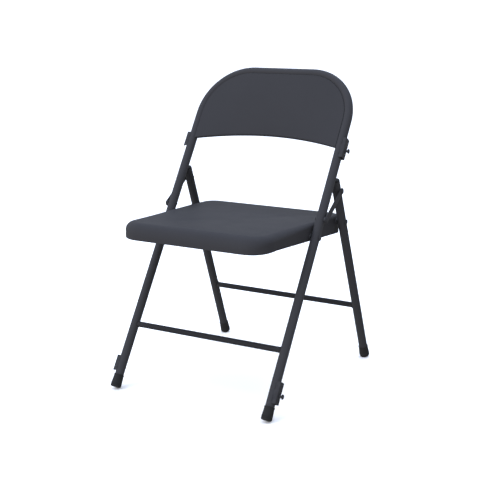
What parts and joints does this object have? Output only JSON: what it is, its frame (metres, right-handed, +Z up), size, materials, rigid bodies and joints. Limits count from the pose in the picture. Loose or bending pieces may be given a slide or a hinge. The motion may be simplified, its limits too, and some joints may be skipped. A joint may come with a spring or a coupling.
{
  "type": "folding chair",
  "caption": "Steel folding chair: a bent tube front frame with a hollowed back panel, a pressed seat pan, rear legs that fold up behind the frame, and ganging brackets on its sides.",
  "frame": {"origin": "on the floor, on the plane of symmetry, midway between the front and the rear feet", "axes": "+Z up, +Y towards the back of the chair, +X to the right as seen from in front of it"},
  "size_m": [0.4728, 0.5596, 0.7655],
  "materials": {
    "powder_coat": "charcoal grey powder coat, semi-matte, with a fine orange-peel texture",
    "rivet_steel": "dark painted-over steel rivets and studs, semi-matte",
    "foot_rubber": "near-black moulded rubber, matte",
    "black_plastic": "black moulded plastic, matte"
  },
  "bodies": {
    "front_frame": {"front_frame_tube": "powder_coat", "front_crossbar": "powder_coat", "back_panel": "powder_coat", "left_front_foot_cap": "foot_rubber", "right_front_foot_cap": "foot_rubber", "upper_left_ganging_socket": "powder_coat", "lower_left_ganging_socket": "powder_coat", "upper_right_ganging_bracket": "powder_coat", "lower_right_ganging_bracket": "powder_coat", "upper_right_ganging_stud": "rivet_steel", "lower_right_ganging_stud": "rivet_steel", "left_seat_pivot_rivet": "rivet_steel", "left_seat_pivot_washer": "rivet_steel", "left_link_pivot_rivet": "rivet_steel", "left_link_pivot_spacer": "rivet_steel", "right_seat_pivot_rivet": "rivet_steel", "right_seat_pivot_washer": "rivet_steel", "right_link_pivot_rivet": "rivet_steel", "right_link_pivot_spacer": "rivet_steel"},
    "seat": {"seat_pan": "powder_coat", "left_seat_hinge_plate": "powder_coat", "right_seat_hinge_plate": "powder_coat"},
    "rear_legs": {"left_rear_leg_tube": "powder_coat", "right_rear_leg_tube": "powder_coat", "rear_crossbar": "powder_coat", "left_rear_leg_plug": "black_plastic", "right_rear_leg_plug": "black_plastic", "left_rear_foot_cap": "foot_rubber", "right_rear_foot_cap": "foot_rubber", "left_rear_leg_pivot_rivet": "rivet_steel", "left_rear_leg_pivot_spacer": "rivet_steel", "right_rear_leg_pivot_rivet": "rivet_steel", "right_rear_leg_pivot_spacer": "rivet_steel"},
    "left_link": {"left_folding_link": "powder_coat", "left_link_end_rivet": "rivet_steel"},
    "right_link": {"right_folding_link": "powder_coat", "right_link_end_rivet": "rivet_steel"}
  },
  "joints": [
    {"name": "seat_fold", "type": "hinge", "parent": "front_frame", "child": "seat", "pos_m": [0, -0.02877, 0.38433], "axis": [-1, 0, 0], "range_deg": [0, 117.98]},
    {"name": "rear_legs_fold", "type": "hinge", "parent": "seat", "child": "rear_legs", "pos_m": [0, 0.11329, 0.39842], "axis": [1, 0, 0], "range_deg": [0, 64.3]},
    {"name": "left_link_fold", "type": "hinge", "parent": "front_frame", "child": "left_link", "pos_m": [-0.2287, -0.00355, 0.42423], "axis": [-1, 0, 0], "range_deg": [0, 142.35]},
    {"name": "right_link_fold", "type": "hinge", "parent": "front_frame", "child": "right_link", "pos_m": [0.2287, -0.00355, 0.42423], "axis": [-1, 0, 0], "range_deg": [0, 142.35]}
  ],
  "couplings": [
    {"joint": "rear_legs_fold", "follows": "seat_fold", "ratio": 0.54486},
    {"joint": "left_link_fold", "follows": "seat_fold", "ratio": 1.2062},
    {"joint": "right_link_fold", "follows": "seat_fold", "ratio": 1.2062}
  ]
}
